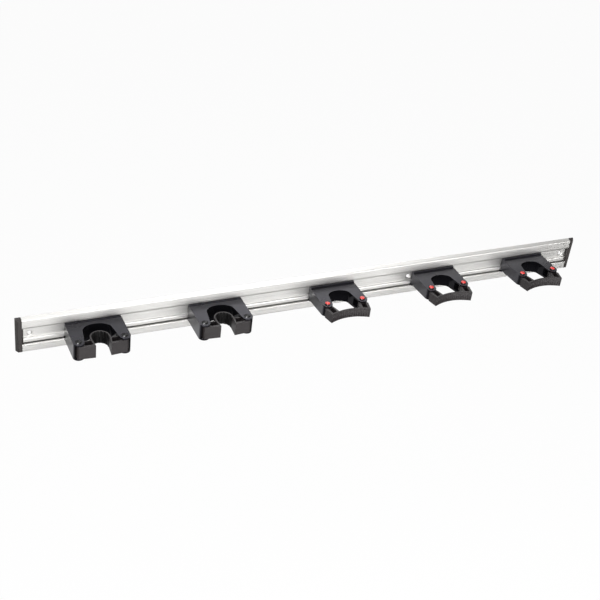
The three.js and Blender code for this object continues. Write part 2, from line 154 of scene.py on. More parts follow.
def satin_aluminium():
    material, tree, shader = new_material("satin_anodised_aluminium_extrusion")
    place = add(tree, "ShaderNodeTexCoord").outputs["Object"]
    line_scale = (1 / (DIE_LINE_LENGTH * MM), 1 / (DIE_LINE_WIDTH * MM), 1 / (DIE_LINE_WIDTH * MM))
    along = add(tree, "ShaderNodeMapping", Vector=place, Scale=line_scale)
    lines = add(tree, "ShaderNodeTexNoise", Vector=along.outputs["Vector"], Scale=1.0, Detail=2.0)
    speckle = add(tree, "ShaderNodeTexNoise", Vector=place, Scale=1 / (SPECKLE_SIZE * MM), Detail=3.0)
    cloud = add(tree, "ShaderNodeTexNoise", Vector=place, Scale=1 / (CLOUD_SIZE * MM), Detail=1.0)
    both = add(
        tree, "ShaderNodeMix", {"data_type": "FLOAT"},
        _0=SPECKLE_SHARE, _2=lines.outputs["Fac"], _3=speckle.outputs["Fac"],
    ).outputs[0]
    spread = add(tree, "ShaderNodeMapRange", Value=both, To_Min=TINT_LOW, To_Max=TINT_HIGH)
    tint = add(
        tree, "ShaderNodeMix", {"data_type": "RGBA"},
        _0=spread.outputs["Result"], _6=linear(METAL_DARK), _7=linear(METAL_LIGHT),
    )
    low, high = METAL_ROUGHNESS
    rough = add(tree, "ShaderNodeMapRange", Value=cloud.outputs["Fac"], To_Min=low, To_Max=high)
    bump = add(tree, "ShaderNodeBump", Height=both, Strength=METAL_BUMP, Distance=METAL_RELIEF * MM)
    tree.links.new(tint.outputs[2], shader.inputs["Base Color"])
    tree.links.new(rough.outputs["Result"], shader.inputs["Roughness"])
    tree.links.new(bump.outputs["Normal"], shader.inputs["Normal"])
    shader.inputs["Metallic"].default_value = 1.0
    return material


ALUMINIUM = satin_aluminium()
print("made", ALUMINIUM.name)

# %% [markdown]
# Moulded black polyamide
#
# The holder bodies are injection moulded in a black engineering plastic. The mould was fine-sparked, so the
# skin has a soft gloss with a grain well below a millimetre, and flow marks change the gloss slightly over a
# few centimetres. The colour is a cool near-black. The end caps are a cheaper, warmer and duller plastic, and
# the pins are acetal, which comes out of a polished mould with a hard gloss. One function makes them all, and
# the rubber too: a skin has patches of colour and gloss and a fine grain, both with their sizes in
# millimetres. The wall round a handle's place lies in shade and is almost black in the photograph. That shade
# is painted on with a second material on the body's mesh, which has the same colour and little gloss.


# %% Black plastic
PLASTIC_SKIN = {"patch": 25, "detail": 2.0, "grain": 0.35, "bump": 0.12, "relief": 0.05, "ior": 1.53}
PLAIN_GLOSS = 0.5
# Painted shade: a low gloss darkens the wall round a handle, where only shade falls.
WALL_SHADE_GLOSS = 0.08
PLAIN_SHEEN = "#FFFFFF"
COOL_SHEEN = "#EDEBFC"
BODY_BLACK = ("#09090B", "#101013")


def moulded(name, skin, colours, roughness, sheen=PLAIN_SHEEN, gloss=PLAIN_GLOSS):
    material, tree, shader = new_material(name)
    place = add(tree, "ShaderNodeTexCoord").outputs["Object"]
    patch_scale, grain_scale = 1 / (skin["patch"] * MM), 1 / (skin["grain"] * MM)
    patches = add(tree, "ShaderNodeTexNoise", Vector=place, Scale=patch_scale, Detail=skin["detail"])
    grain = add(tree, "ShaderNodeTexNoise", Vector=place, Scale=grain_scale, Detail=2.0)
    dark, light = [linear(colour) for colour in colours]
    tint = add(tree, "ShaderNodeMix", {"data_type": "RGBA"}, _0=patches.outputs["Fac"], _6=dark, _7=light)
    low, high = roughness
    rough = add(tree, "ShaderNodeMapRange", Value=patches.outputs["Fac"], To_Min=low, To_Max=high)
    bump = add(
        tree, "ShaderNodeBump",
        Height=grain.outputs["Fac"], Strength=skin["bump"], Distance=skin["relief"] * MM,
    )
    tree.links.new(tint.outputs[2], shader.inputs["Base Color"])
    tree.links.new(rough.outputs["Result"], shader.inputs["Roughness"])
    tree.links.new(bump.outputs["Normal"], shader.inputs["Normal"])
    shader.inputs["IOR"].default_value = skin["ior"]
    shader.inputs["Specular IOR Level"].default_value = gloss
    shader.inputs["Specular Tint"].default_value = linear(sheen)
    return material


def plastic(name, colours, roughness, **finish):
    made = moulded(name, PLASTIC_SKIN, colours, roughness, **finish)
    print("made", name)
    return made


BLACK_PLASTIC = plastic("moulded_black_polyamide", BODY_BLACK, (0.24, 0.34), sheen=COOL_SHEEN)
# Painted shade for the wall round a handle: the same black with much less gloss.
SHADED_WALL_PLASTIC = plastic("black_polyamide_painted_shade", BODY_BLACK, (0.09, 0.12), sheen=COOL_SHEEN, gloss=WALL_SHADE_GLOSS)
CAP_PLASTIC = plastic("moulded_black_polypropylene", ("#1D1918", "#282221"), (0.42, 0.55))
PIN_PLASTIC = plastic("moulded_black_acetal", ("#08080A", "#0E0E11"), (0.14, 0.2))
RED_PLASTIC = plastic("moulded_red_acetal", ("#D8332D", "#E23F39"), (0.22, 0.32))

# %% [markdown]
# Black rubber
#
# The jaws are moulded in a soft black rubber. It scatters light instead of mirroring it, and a thin bloom of
# wax and dust makes it warmer and paler than the plastic in patches of about a centimetre. Its skin has a
# fine leathery grain from the mould. The inside of the clip's arch lies in shade and is almost black in the
# photograph. That shade is painted on as a darker and duller rubber.

# %% Rubber
RUBBER_SKIN = {"patch": 12, "detail": 4.0, "grain": 0.5, "bump": 0.25, "relief": 0.08, "ior": 1.5}
RUBBER_ROUGHNESS = (0.42, 0.62)
RUBBER_BLACK = ("#181415", "#241F20")
# Painted shade: darker colours and less gloss for the inside of the clip's arch.
SHADE_RUBBER_BLACK = ("#060505", "#080707")
SHADE_RUBBER_GLOSS = 0.2

RUBBER = moulded("moulded_black_rubber", RUBBER_SKIN, RUBBER_BLACK, RUBBER_ROUGHNESS)
PAINTED_SHADE_RUBBER = moulded(
    "black_rubber_painted_shade", RUBBER_SKIN, SHADE_RUBBER_BLACK, RUBBER_ROUGHNESS, gloss=SHADE_RUBBER_GLOSS,
)
print("made", RUBBER.name, "and", PAINTED_SHADE_RUBBER.name)

# %% [markdown]
# Small tools for shapes
#
# Moulded and extruded pieces start as a flat outline that is given a thickness, and are then cut and
# joined. An outline drawn in plan is raised along Z, and a section is run along X. Boolean modifiers do
# the cutting, and a Bevel modifier rounds what is left, as a mould does. A cutter reaches a little past
# what it cuts. Sizes are in millimetres, as on a drawing.


# %% Outlines and solids
ARC_STEPS = 28
TURN_STEPS = 40
QUARTER = math.pi / 2
SIDES = (("left", -1), ("right", 1))


def arc(x, y, radius_x, radius_y, start, end, steps=ARC_STEPS):
    angles = [start + (end - start) * i / steps for i in range(steps + 1)]
    return [(x + radius_x * math.cos(a), y + radius_y * math.sin(a)) for a in angles]


def circle(x, y, radius, steps=TURN_STEPS):
    return arc(x, y, radius, radius, 0, 4 * QUARTER, steps)[:-1]


def rectangle(x, y, far_x, far_y):
    return [(x, y), (far_x, y), (far_x, far_y), (x, far_y)]


def mirrored(points, side):
    return [(side * x, y) for x, y in points]


def pair(make):
    return {word: make(side) for word, side in SIDES}


def mesh_object(name, mesh):
    piece = bpy.data.objects.new(name, mesh)
    bpy.context.collection.objects.link(piece)
    return piece


def solid(name, rings):
    build = bmesh.new()
    loops = [[build.verts.new(Vector(point) * MM) for point in ring] for ring in rings]
    build.faces.new(loops[0])
    build.faces.new(loops[-1])
    count = len(loops[0])
    for near, far in zip(loops, loops[1:]):
        for i in range(count):
            k = (i + 1) % count
            build.faces.new((near[i], near[k], far[k], far[i]))
    bmesh.ops.recalc_face_normals(build, faces=build.faces)
    mesh = bpy.data.meshes.new(name)
    build.to_mesh(mesh)
    build.free()
    return mesh_object(name, mesh)


def prism(name, outline, low, high, along_x=False):
    rings = []
    for level in (low, high):
        rings.append([(level, u, v) if along_x else (u, v, level) for u, v in outline])
    return solid(name, rings)


def round_bar(name, x, y, radius, low, high):
    return prism(name, circle(x, y, radius, 2 * ARC_STEPS), low, high)


print("an arc has", ARC_STEPS, "steps and a turned ring", TURN_STEPS)


# %% Cutting and joining
OVERSHOOT = 1.0


def settle(piece):
    graph = bpy.context.evaluated_depsgraph_get()
    result = bpy.data.meshes.new_from_object(piece.evaluated_get(graph))
    piece.modifiers.clear()
    before = piece.data
    piece.data = result
    bpy.data.meshes.remove(before)


def shape(piece, tool, how):
    step = piece.modifiers.new("shape", "BOOLEAN")
    step.operation = how
    step.solver = "EXACT"
    step.object = tool
    settle(piece)
    bpy.data.objects.remove(tool)


def joined(name, pieces):
    build = bmesh.new()
    for piece in pieces:
        build.from_mesh(piece.data)
    mesh = bpy.data.meshes.new(name)
    build.to_mesh(mesh)
    build.free()
    for piece in pieces:
        bpy.data.objects.remove(piece)
    return mesh_object(name, mesh)


print("cutters reach", OVERSHOOT, "mm past a face")

# %% [markdown]
# Rounding edges
#
# A mould never leaves a knife edge, so each piece is rounded by a Bevel modifier, and weighted normals
# keep its flat faces flat to the eye. Where two pieces of one soft moulding meet, a rounded edge would
# show as a seam. Such a piece is made too long, rounded, and then cut flat at the place where it meets the
# other.

# %% Rounding and cutting flat
MERGE_DISTANCE = 0.002
CUT_DISTANCE = 0.001
FLAT_ANGLE = math.radians(0.2)
SHARP_ANGLE = math.radians(35)
ROUND_SEGMENTS = 2


def cut_flat(piece, place, away):
    build = bmesh.new()
    build.from_mesh(piece.data)
    every = build.verts[:] + build.edges[:] + build.faces[:]
    point = Vector((*place, 0)) * MM
    cut = bmesh.ops.bisect_plane(
        build, geom=every, dist=CUT_DISTANCE * MM, plane_co=point, plane_no=(*away, 0), clear_outer=True,
    )
    rim = [part for part in cut["geom_cut"] if isinstance(part, bmesh.types.BMEdge)]
    bmesh.ops.contextual_create(build, geom=rim)
    bmesh.ops.recalc_face_normals(build, faces=build.faces)
    for edge in rim:
        edge.smooth = False
    build.to_mesh(piece.data)
    build.free()


def soften(piece, radius, cuts=()):
    build = bmesh.new()
    build.from_mesh(piece.data)
    bmesh.ops.remove_doubles(build, verts=build.verts, dist=MERGE_DISTANCE * MM)
    bmesh.ops.dissolve_limit(build, angle_limit=FLAT_ANGLE, verts=build.verts, edges=build.edges)
    for face in build.faces:
        face.smooth = True
    build.to_mesh(piece.data)
    build.free()
    bevel = piece.modifiers.new("rounding", "BEVEL")
    bevel.width = radius * MM
    bevel.segments = ROUND_SEGMENTS
    bevel.limit_method = "ANGLE"
    bevel.angle_limit = SHARP_ANGLE
    bevel.miter_outer = "MITER_ARC"
    settle(piece)
    for place, away in cuts:
        cut_flat(piece, place, away)
    weigh = piece.modifiers.new("flat faces", "WEIGHTED_NORMAL")
    weigh.keep_sharp = True
    settle(piece)


print("edges sharper than", round(math.degrees(SHARP_ANGLE)), "degrees are rounded")

# %% [markdown]
# Finishing a piece
#
# A finished piece takes its place, its material and its links to the frame. Where its inner faces get painted
# shade, a face attribute marks them, and they get a second, darker material that paints the shade. A mark is
# kept while the mesh is copied.

# %% Marking and finishing
UPRIGHT = 0.4


def mark_painted_shade(piece, within):
    # Marks the faces that get painted shade from a second, darker material.
    marks = piece.data.attributes.new("inside", "INT", "FACE")
    for face in piece.data.polygons:
        upright = abs(face.normal.z) < UPRIGHT
        marks.data[face.index].value = int(upright and within(face.center / MM))


def finished(piece, name, material, body, nodes, x=0.0, inner=None):
    mesh = piece.data.copy()
    mesh.transform(Matrix.Translation((x * MM, 0, 0)))
    mesh.materials.clear()
    mesh.materials.append(material)
    if inner:
        mesh.materials.append(inner)
        marks = mesh.attributes["inside"].data
        for face in mesh.polygons:
            face.material_index = marks[face.index].value
    copy = mesh_object(name, mesh)
    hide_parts(*nodes)
    if body:
        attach(copy, body)
    return copy


print("a face whose normal rises less than", UPRIGHT, "counts as upright")

# %% [markdown]
# The rail
#
# The rail is one extrusion: a flat back wall, a roof and a floor, and two lips that half close the
# channel. A rounded ledge runs along the back wall. Running a section along X gives the same form as the
# die does. The four screw holes are turned shapes, cut out with a Boolean, and their countersinks face the
# room.

# %% Rail sizes and section
RAIL_LENGTH = 922.6
RAIL_BOTTOM = -27.65
RAIL_TOP = 27.65
RAIL_DEPTH = 7.0
FRONT_TOP = RAIL_TOP - 2.3
BACK_WALL = 2.0
LIP_BACK = 4.8
LOWER_LIP_TOP = RAIL_BOTTOM + 12.2
UPPER_LIP_EDGE = FRONT_TOP - 14.5
ROOF = RAIL_TOP - 5.3
CHANNEL_FLOOR = RAIL_BOTTOM + 3.0
LEDGE_BOTTOM = LOWER_LIP_TOP + 2.0
LEDGE_TOP = LEDGE_BOTTOM + 6.8
LEDGE_FACE = 4.2
EDGE_ROUND = 1.0
TOP_ROUND = 1.6
LIP_ROLL_HEIGHT = 2.6
LIP_ROLL_DEPTH = 0.8
LEDGE_ROUND = 2.2
EDGE_STEPS = 6
TOP_STEPS = 8
ROLL_STEPS = 12


def rail_section():
    front = -RAIL_DEPTH + EDGE_ROUND
    crest = -RAIL_DEPTH + TOP_ROUND
    edge = -RAIL_DEPTH + LIP_ROLL_DEPTH
    roll = UPPER_LIP_EDGE + LIP_ROLL_HEIGHT
    ledge = LEDGE_FACE - BACK_WALL
    turn = math.atan2(RAIL_DEPTH, RAIL_TOP - FRONT_TOP)
    drop = TOP_ROUND * math.tan(turn / 2)
    return [
        (0, RAIL_BOTTOM),
        *arc(front, RAIL_BOTTOM + EDGE_ROUND, EDGE_ROUND, EDGE_ROUND, 3 * QUARTER, 2 * QUARTER, EDGE_STEPS),
        *arc(front, LOWER_LIP_TOP - EDGE_ROUND, EDGE_ROUND, EDGE_ROUND, 2 * QUARTER, QUARTER, EDGE_STEPS),
        (-LIP_BACK, LOWER_LIP_TOP),
        (-LIP_BACK, CHANNEL_FLOOR),
        (-BACK_WALL, CHANNEL_FLOOR),
        (-BACK_WALL, LEDGE_BOTTOM),
        (-LEDGE_FACE, LEDGE_BOTTOM),
        *arc(-BACK_WALL, LEDGE_TOP - LEDGE_ROUND, ledge, LEDGE_ROUND, 2 * QUARTER, QUARTER, ROLL_STEPS),
        (-BACK_WALL, ROOF),
        (-LIP_BACK, ROOF),
        (-LIP_BACK, UPPER_LIP_EDGE),
        *arc(edge, roll, LIP_ROLL_DEPTH, LIP_ROLL_HEIGHT, 3 * QUARTER, 2 * QUARTER, ROLL_STEPS),
        *arc(crest, FRONT_TOP - drop, TOP_ROUND, TOP_ROUND, 2 * QUARTER, 2 * QUARTER - turn, TOP_STEPS),
        (0, RAIL_TOP),
    ]


print("the rail's section has", len(rail_section()), "corners")

# %% Rail with its screw holes
HOLE_PLACES = (-450, -155, 155, 450)
HOLE_RADIUS = 2.75
SINK_RADIUS = 4.25
SINK_DEPTH = 1.5
RAIL_ROUND = 0.25


def screw_drill(x):
    stations = [
        (OVERSHOOT, HOLE_RADIUS),
        (SINK_DEPTH - BACK_WALL, HOLE_RADIUS),
        (-BACK_WALL, SINK_RADIUS),
        (-BACK_WALL - OVERSHOOT, SINK_RADIUS),
    ]
    return solid("drill", [[(x + u, y, v) for u, v in circle(0, 0, radius)] for y, radius in stations])


rail_form = prism("rail_form", rail_section(), -RAIL_LENGTH / 2, RAIL_LENGTH / 2, along_x=True)
for place in HOLE_PLACES:
    shape(rail_form, screw_drill(place), "DIFFERENCE")
soften(rail_form, RAIL_ROUND)
rail = finished(rail_form, "rail_extrusion", ALUMINIUM, "rail", ["rail"])
bpy.data.objects.remove(rail_form)
print("rail has", len(rail.data.polygons), "faces")

# %% [markdown]
# Ribs that follow a path
#
# Soft grips and plastic plugs carry rows of thin upright ribs. They repeat along a line, so Geometry Nodes
# make them: the piece's own points become a curve, the curve is divided evenly, and an upright rod stands
# on each point. Part of each rod sinks into the wall behind it. The tree's inputs are the count, the rod's
# sizes and its material.

# %% Geometry Nodes: ribs along a path
ROD_SIDES = 12


def geometry_tree(name, result, **kinds):
    tree = bpy.data.node_groups.new(name, "GeometryNodeTree")
    tree.is_modifier = True
    keys = {}
    for label, kind in kinds.items():
        socket = tree.interface.new_socket(name=label, in_out="INPUT", socket_type=f"NodeSocket{kind}")
        keys[label] = socket.identifier
    tree.interface.new_socket(name=result, in_out="OUTPUT", socket_type="NodeSocketGeometry")
    return tree, keys, add(tree, "NodeGroupInput").outputs


def rib_tree():
    tree, keys, given = geometry_tree(
        "Ribs along a path", "Ribs",
        Path="Geometry", Count="Int", Radius="Float", Height="Float", Material="Material",
    )
    path = add(tree, "GeometryNodeMeshToCurve", Mesh=given["Path"])
    even = add(tree, "GeometryNodeResampleCurve", Curve=path.outputs["Curve"], Count=given["Count"])
    rod = add(
        tree, "GeometryNodeMeshCylinder",
        Vertices=ROD_SIDES, Radius=given["Radius"], Depth=given["Height"],
    )
    stand = add(
        tree, "GeometryNodeInstanceOnPoints",
        Points=even.outputs["Curve"], Instance=rod.outputs["Mesh"],
    )
    real = add(tree, "GeometryNodeRealizeInstances", Geometry=stand.outputs["Instances"])
    smooth = add(tree, "GeometryNodeSetShadeSmooth", Geometry=real.outputs["Geometry"])
    finish = add(
        tree, "GeometryNodeSetMaterial",
        Geometry=smooth.outputs["Geometry"], Material=given["Material"],
    )
    add(tree, "NodeGroupOutput", Ribs=finish.outputs["Geometry"])
    return tree, keys


RIB_TREE, RIB_KEYS = rib_tree()


def ribs(name, path, low, high, count, radius, material):
    mesh = bpy.data.meshes.new(name)
    middle = (low + high) / 2
    points = [Vector((x, y, middle)) * MM for x, y in path]
    mesh.from_pydata(points, [(i, i + 1) for i in range(len(points) - 1)], [])
    row = mesh_object(name, mesh)
    step = row.modifiers.new("ribs", "NODES")
    step.node_group = RIB_TREE
    step[RIB_KEYS["Count"]] = count
    step[RIB_KEYS["Radius"]] = radius * MM
    step[RIB_KEYS["Height"]] = (high - low) * MM
    step[RIB_KEYS["Material"]] = material
    settle(row)
    return row


print("rib tree has", len(RIB_TREE.nodes), "nodes")

# %% [markdown]
# The end caps
#
# Each cap is a moulded plate whose front edge is chamfered, with a plug that reaches into the channel
# between the lips. Two fine upright ridges on the plug give a finger some grip to pull the cap off.

# %% End caps
CAP_INNER = RAIL_LENGTH / 2 + 0.3
CAP_OUTER = CAP_INNER + 8.4
CAP_BEVEL = 3.0
CLEAR = 0.3
PLUG_FRONT = -RAIL_DEPTH + 0.6
PLUG_END = RAIL_LENGTH / 2 - 1.8
CAP_ROUND = 0.45
RIDGES = 2
RIDGE_RADIUS = 0.4
RIDGE_SUNK = 0.2
RIDGE_MARGIN = 0.5
RIDGE_SHORTER = 0.8


def end_cap(side, word):
    outline = [(0, RAIL_BOTTOM), (-RAIL_DEPTH, RAIL_BOTTOM), (-RAIL_DEPTH, FRONT_TOP), (0, RAIL_TOP)]
    ends = sorted((side * CAP_INNER, side * CAP_OUTER))
    cap = prism("cap_form", outline, *ends, along_x=True)
    corner = [
        (CAP_OUTER - CAP_BEVEL, -RAIL_DEPTH),
        (CAP_OUTER, -BACK_WALL),
        (CAP_OUTER + OVERSHOOT, -BACK_WALL),
        (CAP_OUTER + OVERSHOOT, -RAIL_DEPTH - OVERSHOOT),
        (CAP_OUTER - CAP_BEVEL, -RAIL_DEPTH - OVERSHOOT),
    ]
    cutter = prism("corner", mirrored(corner, side), RAIL_BOTTOM - OVERSHOOT, RAIL_TOP + OVERSHOOT)
    shape(cap, cutter, "DIFFERENCE")
    plug = rectangle(PLUG_END, PLUG_FRONT, CAP_INNER + CAP_BEVEL, -LEDGE_FACE - CLEAR)
    low = LOWER_LIP_TOP + CLEAR
    high = UPPER_LIP_EDGE - CLEAR
    shape(cap, prism("plug", mirrored(plug, side), low, high), "UNION")
    soften(cap, CAP_ROUND)
    ends = (PLUG_END + RIDGE_MARGIN, CAP_INNER - RIDGE_MARGIN)
    line = mirrored([(x, PLUG_FRONT + RIDGE_SUNK) for x in ends], side)
    foot, head = low + RIDGE_SHORTER, high - RIDGE_SHORTER
    ridges = ribs("ridges", line, foot, head, RIDGES, RIDGE_RADIUS, CAP_PLASTIC)
    whole = joined("cap_whole", [cap, ridges])
    name = f"end_cap_{word}"
    made = finished(whole, f"{name}_moulding", CAP_PLASTIC, "rail", [name])
    bpy.data.objects.remove(whole)
    return made


for word, side in SIDES:
    cap = end_cap(side, word)
    print(cap.name, "has", len(cap.data.polygons), "faces")

# %% [markdown]
# The holder bodies
#
# Two kinds of body share one design: a flat plate on thin walls, an arch cut out for the handle, two
# forked arms for the rubber, and a foot that hooks behind both lips of the rail. Each is cut from a raised
# outline in the order in which a mould maker would think of it, and then all its edges are rounded
# together.

# %% Sizes of the two kinds of holder
PLATE = 2.4
SIDE_WALL = 2.2
REAR_WALL = 3.0
PARTITION = 2.2
TURN_ROOM = 3.6
HOOK = 4.0
FOOT_SHORTER = 0.5
PIN_RADIUS = 3.0
BODY_BACK = -RAIL_DEPTH - CLEAR


def holder_kind(pin_x, pin_reach, arm, arch_width, arch_depth, arch_reach, top_drop, rear_lift, front_lift):
    top = UPPER_LIP_EDGE - top_drop
    front = LOWER_LIP_TOP + front_lift
    return {
        "pin_x": pin_x,
        "pin_y": -pin_reach,
        "arm": arm,
        "half": pin_x + arm,
        "arch_half": arch_width / 2,
        "arch_depth": arch_depth,
        "arch_y": -arch_reach - arch_depth,
        "top": top,
        "bottom_back": LOWER_LIP_TOP + rear_lift,
        "bottom_front": front,
        "slot_low": front + PLATE,
        "slot_high": top - PLATE,
        "lug": arm - SIDE_WALL - CLEAR,
    }


CLIP = holder_kind(
    pin_x=33, pin_reach=54, arm=8.2,
    arch_width=42, arch_depth=14, arch_reach=16.3,
    top_drop=1.2, rear_lift=-1.4, front_lift=-1,
)
BAND = holder_kind(
    pin_x=29.25, pin_reach=53, arm=8,
    arch_width=36, arch_depth=12, arch_reach=22.3,
    top_drop=2.9, rear_lift=2.4, front_lift=5.8,
)
print("clip body is", 2 * CLIP["half"], "mm wide, band body", 2 * BAND["half"], "mm")


# %% Body of a holder
def foot_section():
    hook_front = -LIP_BACK + CLEAR
    hook_back = -BACK_WALL - CLEAR
    neck = -LEDGE_FACE - CLEAR
    start = BODY_BACK - REAR_WALL / 2
    return [
        (start, LOWER_LIP_TOP + CLEAR),
        (start, UPPER_LIP_EDGE - CLEAR),
        (hook_front, UPPER_LIP_EDGE - CLEAR),
        (hook_front, UPPER_LIP_EDGE + HOOK),
        (hook_back, UPPER_LIP_EDGE + HOOK),
        (hook_back, LEDGE_TOP + CLEAR),
        (neck, LEDGE_TOP + CLEAR),
        (neck, LEDGE_BOTTOM - CLEAR),
        (hook_back, LEDGE_BOTTOM - CLEAR),
        (hook_back, LOWER_LIP_TOP - HOOK),
        (hook_front, LOWER_LIP_TOP - HOOK),
        (hook_front, LOWER_LIP_TOP + CLEAR),
    ]


def body_outline(kind):
    x, y, arm = kind["pin_x"], kind["pin_y"], kind["arm"]
    return [
        (-kind["half"], BODY_BACK),
        (kind["half"], BODY_BACK),
        *arc(x, y, arm, arm, 0, -math.pi),
        *arc(0, kind["arch_y"], kind["arch_half"], kind["arch_depth"], 0, math.pi, 2 * ARC_STEPS),
        *arc(-x, y, arm, arm, 0, -math.pi),
    ]


def handle_space(kind, wall, front):
    leg = kind["pin_x"] - kind["arm"] + wall
    wide = kind["arch_half"] + wall
    deep = kind["arch_depth"] + wall
    return [
        (leg, front),
        (leg, kind["pin_y"]),
        *arc(0, kind["arch_y"], wide, deep, 0, math.pi, 2 * ARC_STEPS),
        (-leg, kind["pin_y"]),
        (-leg, front),
    ]


def body_form(kind):
    half, top, arm = kind["half"], kind["top"], kind["arm"]
    below = min(kind["bottom_back"], kind["bottom_front"]) - PLATE
    front = kind["pin_y"] - arm
    form = prism("body_form", body_outline(kind), below, top)
    slope = (kind["bottom_front"] - kind["bottom_back"]) / (BODY_BACK - front)
    wedge = [
        (BODY_BACK + PLATE, below - PLATE),
        (BODY_BACK + PLATE, kind["bottom_back"] - slope * PLATE),
        (front - PLATE, kind["bottom_front"] + slope * PLATE),
        (front - PLATE, below - PLATE),
    ]
    shape(form, prism("wedge", wedge, -half - PLATE, half + PLATE, along_x=True), "DIFFERENCE")
    slot_back = kind["pin_y"] + kind["lug"] + TURN_ROOM
    inner = half - SIDE_WALL
    hollow_plan = rectangle(-inner, BODY_BACK - REAR_WALL, inner, slot_back + PARTITION)
    room = prism("room", hollow_plan, below - PLATE, top - PLATE)
    wall = prism("wall", handle_space(kind, SIDE_WALL, front), below - 2 * PLATE, top)
    shape(room, wall, "DIFFERENCE")
    shape(form, room, "DIFFERENCE")
    foot = prism("foot", foot_section(), -half + FOOT_SHORTER, half - FOOT_SHORTER, along_x=True)
    shape(form, foot, "UNION")
    for word, side in SIDES:
        fork = rectangle(kind["pin_x"] - 2 * arm, slot_back, inner, front - PLATE)
        shape(form, prism("fork", mirrored(fork, side), kind["slot_low"], kind["slot_high"]), "DIFFERENCE")
        hole = round_bar("hole", side * kind["pin_x"], kind["pin_y"], PIN_RADIUS + CLEAR, below, top + PLATE)
        shape(form, hole, "DIFFERENCE")
    return form


print("the foot's section has", len(foot_section()), "corners")

# %% [markdown]
# The wall and the seats
#
# The pins of the wide holders sit in a shallow seat inside a raised rim, so that body gets the rim and the
# seat before its edges are rounded. Then the upright faces round the handle's place are marked for painted
# shade.


# %% Both bodies
BODY_ROUND = 0.7
CLIP_HEAD_RADIUS = 4.7
RIM_WIDTH = 1.5
RIM_HEIGHT = 0.4
SEAT_DEPTH = 1.2


# The upright wall round a handle is marked to take the painted-shade material.
def mark_shaded_handle_wall(piece, kind):
    leg = kind["pin_x"] - kind["arm"] + SIDE_WALL
    crown = kind["arch_y"] + kind["arch_depth"] + SIDE_WALL / 2
    mark_painted_shade(piece, lambda spot: abs(spot.x) < leg and spot.y < crown)


clip_body = body_form(CLIP)
for word, side in SIDES:
    x, y, top = side * CLIP["pin_x"], CLIP["pin_y"], CLIP["top"]
    seat = CLIP_HEAD_RADIUS + CLEAR
    rim = round_bar("rim", x, y, seat + RIM_WIDTH, top - PLATE / 2, top + RIM_HEIGHT)
    shape(rim, round_bar("bore", x, y, PIN_RADIUS + CLEAR, top - PLATE, top + 2 * RIM_HEIGHT), "DIFFERENCE")
    shape(clip_body, rim, "UNION")
    shape(clip_body, round_bar("seat", x, y, seat, top - SEAT_DEPTH, top + 2 * RIM_HEIGHT), "DIFFERENCE")
soften(clip_body, BODY_ROUND)
band_body = body_form(BAND)
soften(band_body, BODY_ROUND)
mark_shaded_handle_wall(clip_body, CLIP)
mark_shaded_handle_wall(band_body, BAND)
print("clip body", len(clip_body.data.polygons), "faces, band body", len(band_body.data.polygons), "faces")

# %% [markdown]
# A ring of repeated parts
#
# A clip pin has slots for a key, and a snap pin has notches round its skirt. Both repeat round an axis, so
# one tree serves both: the cutter's own mesh is placed on the points of a circle and turned to face
# outwards. These cutters are drawn at their distance from the axis, so their circle has no radius and only
# the turn counts.


# %% Geometry Nodes: copies round an axis
def ring_tree():
    tree, keys, given = geometry_tree(
        "Copies round an axis", "Ring", Copy="Geometry", Count="Int", Radius="Float", Material="Material",
    )
    circle = add(tree, "GeometryNodeMeshCircle", Vertices=given["Count"], Radius=given["Radius"])
    number = add(tree, "GeometryNodeInputIndex")
    step = add(tree, "ShaderNodeMath", {"operation": "DIVIDE"}, _0=2 * math.pi, _1=given["Count"])
    angle = add(
        tree, "ShaderNodeMath", {"operation": "MULTIPLY"},
        _0=number.outputs["Index"], _1=step.outputs["Value"],
    )
    facing = add(tree, "ShaderNodeCombineXYZ", Z=angle.outputs["Value"])
    placed = add(
        tree, "GeometryNodeInstanceOnPoints",
        Points=circle.outputs["Mesh"], Instance=given["Copy"], Rotation=facing.outputs["Vector"],
    )
    real = add(tree, "GeometryNodeRealizeInstances", Geometry=placed.outputs["Instances"])
    finish = add(
        tree, "GeometryNodeSetMaterial",
        Geometry=real.outputs["Geometry"], Material=given["Material"],
    )
    add(tree, "NodeGroupOutput", Ring=finish.outputs["Geometry"])
    return tree, keys


RING_TREE, RING_KEYS = ring_tree()
ON_AXIS = 0.0


def notch_round(piece, x, y, near, far, width, low, high, turn, count):
    notch = prism("notch", rectangle(near, -width / 2, far, width / 2), low, high)
    notch.data.transform(Matrix.Rotation(turn, 4, "Z"))
    step = notch.modifiers.new("ring", "NODES")
    step.node_group = RING_TREE
    step[RING_KEYS["Count"]] = count
    step[RING_KEYS["Radius"]] = ON_AXIS
    step[RING_KEYS["Material"]] = PIN_PLASTIC
    settle(notch)
    notch.data.transform(Matrix.Translation(Vector((x, y, 0)) * MM))
    shape(piece, notch, "DIFFERENCE")


print("ring tree has", len(RING_TREE.nodes), "nodes")

# %% [markdown]
# The pins
#
# A turned outline is the natural way to make a pin: a list of radius and height, spun round its axis. The
# clip pin is a black disc with a raised ring that three slots part into lobes. The snap pin is a red cap
# on a black pin whose skirt is notched, so that it can spring through the plate.


# %% Turned shapes
CORE = 0.2


def turned(name, profile, x, y):
    return solid(name, [[(u, v, height) for u, v in circle(x, y, radius)] for radius, height in profile])


print("a turned shape starts", CORE, "mm from its axis")

# %% Clip pins
CLIP_HEAD_HEIGHT = 1.0
KEY_RING_HEIGHT = 1.0
KEY_RING_OUTER = 3.5
KEY_RING_INNER = 2.6
KEY_RING_DRAFT = 1.05
KEY_SLOTS = 3
KEY_SLOT = 1.1
KEY_SLOT_START = 1.5
KEY_SLOT_TURN = math.radians(60)
PIN_SET_IN = 0.4
CLIP_PIN_ROUND = 0.15


